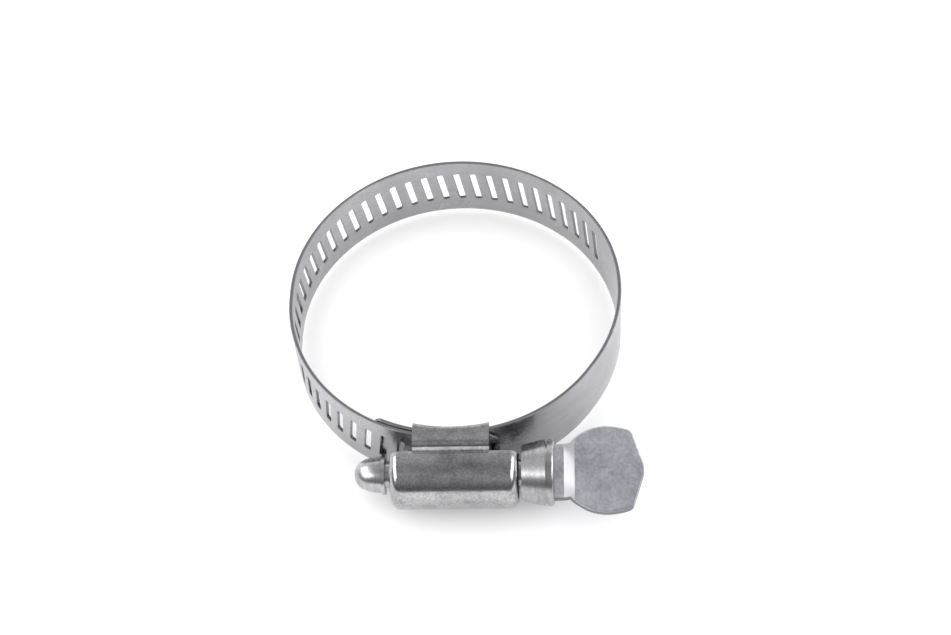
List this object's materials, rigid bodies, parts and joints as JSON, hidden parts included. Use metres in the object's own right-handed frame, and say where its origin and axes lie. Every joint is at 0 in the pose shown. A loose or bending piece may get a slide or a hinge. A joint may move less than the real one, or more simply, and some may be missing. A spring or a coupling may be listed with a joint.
{
  "type": "hose clamp",
  "caption": "Worm-drive hose clamp: a slotted steel band closed by a screw in a pressed housing, turned by a flat thumb key.",
  "frame": {"origin": "centre of the ring at half the band's width", "axes": "+Z along the ring's axis, which is the hose's; +X along the screw towards the thumb key; +Y from the housing towards the back of the ring"},
  "size_m": [0.058, 0.0668, 0.0142],
  "materials": {
    "band_steel": "rolled stainless strip, satin, with sheared edges",
    "housing_steel": "pressed stainless sheet, smooth and glossy with fine specks",
    "screw_steel": "bright turned steel",
    "key_steel": "tumbled steel, dull bluish grey"
  },
  "bodies": {
    "housing_body": {"housing": "housing_steel", "band_plain_end": "band_steel"},
    "screw_body": {"worm_screw": "screw_steel", "thumb_key": "key_steel"},
    "band_body_01": {"band_stretch_01": "band_steel"},
    "band_body_02": {"band_stretch_02": "band_steel"},
    "band_body_03": {"band_stretch_03": "band_steel"},
    "band_body_04": {"band_stretch_04": "band_steel"},
    "band_body_05": {"band_stretch_05": "band_steel"},
    "band_body_06": {"band_stretch_06": "band_steel"},
    "band_body_07": {"band_stretch_07": "band_steel"},
    "band_body_08": {"band_stretch_08": "band_steel"},
    "band_body_09": {"band_stretch_09": "band_steel"},
    "band_body_10": {"band_stretch_10": "band_steel"},
    "band_body_11": {"band_stretch_11": "band_steel"},
    "free_end_body": {"band_free_end": "band_steel"}
  },
  "joints": [
    {"name": "screw_turn", "type": "hinge", "parent": "housing_body", "child": "screw_body", "pos_m": [0, -0.0318, 0], "axis": [-1, 0, 0], "range_deg": [-360, 1080]},
    {"name": "band_bend_01", "type": "hinge", "parent": "housing_body", "child": "band_body_01", "pos_m": [0.02254, -0.01541, 0], "axis": [0, 0, 1], "range_deg": [-1.41, 4.23]},
    {"name": "band_bend_02", "type": "hinge", "parent": "band_body_01", "child": "band_body_02", "pos_m": [0.02688, -0.00475, 0], "axis": [0, 0, 1], "range_deg": [-0.43, 1.3]},
    {"name": "band_bend_03", "type": "hinge", "parent": "band_body_02", "child": "band_body_03", "pos_m": [0.02645, 0.00676, 0], "axis": [0, 0, 1], "range_deg": [-0.26, 0.78]},
    {"name": "band_bend_04", "type": "hinge", "parent": "band_body_03", "child": "band_body_04", "pos_m": [0.02131, 0.01706, 0], "axis": [0, 0, 1], "range_deg": [-0.26, 0.78]},
    {"name": "band_bend_05", "type": "hinge", "parent": "band_body_04", "child": "band_body_05", "pos_m": [0.01238, 0.02433, 0], "axis": [0, 0, 1], "range_deg": [-0.26, 0.78]},
    {"name": "band_bend_06", "type": "hinge", "parent": "band_body_05", "child": "band_body_06", "pos_m": [0.00125, 0.02727, 0], "axis": [0, 0, 1], "range_deg": [-0.41, 1.22]},
    {"name": "band_bend_07", "type": "hinge", "parent": "band_body_06", "child": "band_body_07", "pos_m": [-0.0101, 0.02536, 0], "axis": [0, 0, 1], "range_deg": [-0.62, 1.85]},
    {"name": "band_bend_08", "type": "hinge", "parent": "band_body_07", "child": "band_body_08", "pos_m": [-0.01966, 0.01894, 0], "axis": [0, 0, 1], "range_deg": [-0.54, 1.61]},
    {"name": "band_bend_09", "type": "hinge", "parent": "band_body_08", "child": "band_body_09", "pos_m": [-0.02572, 0.00916, 0], "axis": [0, 0, 1], "range_deg": [-0.31, 0.94]},
    {"name": "band_bend_10", "type": "hinge", "parent": "band_body_09", "child": "band_body_10", "pos_m": [-0.02729, -0.00226, 0], "axis": [0, 0, 1], "range_deg": [-0.26, 0.78]},
    {"name": "band_bend_11", "type": "hinge", "parent": "band_body_10", "child": "band_body_11", "pos_m": [-0.02449, -0.01343, 0], "axis": [0, 0, 1], "range_deg": [-0.41, 1.23]},
    {"name": "band_bend_12", "type": "hinge", "parent": "band_body_11", "child": "free_end_body", "pos_m": [-0.01734, -0.02245, 0], "axis": [0, 0, 1], "range_deg": [-1.03, 3.1]}
  ],
  "couplings": [
    {"joint": "band_bend_01", "follows": "screw_turn", "ratio": 0.0038359},
    {"joint": "band_bend_02", "follows": "screw_turn", "ratio": 0.0011784},
    {"joint": "band_bend_03", "follows": "screw_turn", "ratio": 0.00070444},
    {"joint": "band_bend_04", "follows": "screw_turn", "ratio": 0.00070444},
    {"joint": "band_bend_05", "follows": "screw_turn", "ratio": 0.00070444},
    {"joint": "band_bend_06", "follows": "screw_turn", "ratio": 0.0011072},
    {"joint": "band_bend_07", "follows": "screw_turn", "ratio": 0.0016829},
    {"joint": "band_bend_08", "follows": "screw_turn", "ratio": 0.0014577},
    {"joint": "band_bend_09", "follows": "screw_turn", "ratio": 0.00085078},
    {"joint": "band_bend_10", "follows": "screw_turn", "ratio": 0.00070444},
    {"joint": "band_bend_11", "follows": "screw_turn", "ratio": 0.0011186},
    {"joint": "band_bend_12", "follows": "screw_turn", "ratio": 0.0028153}
  ]
}
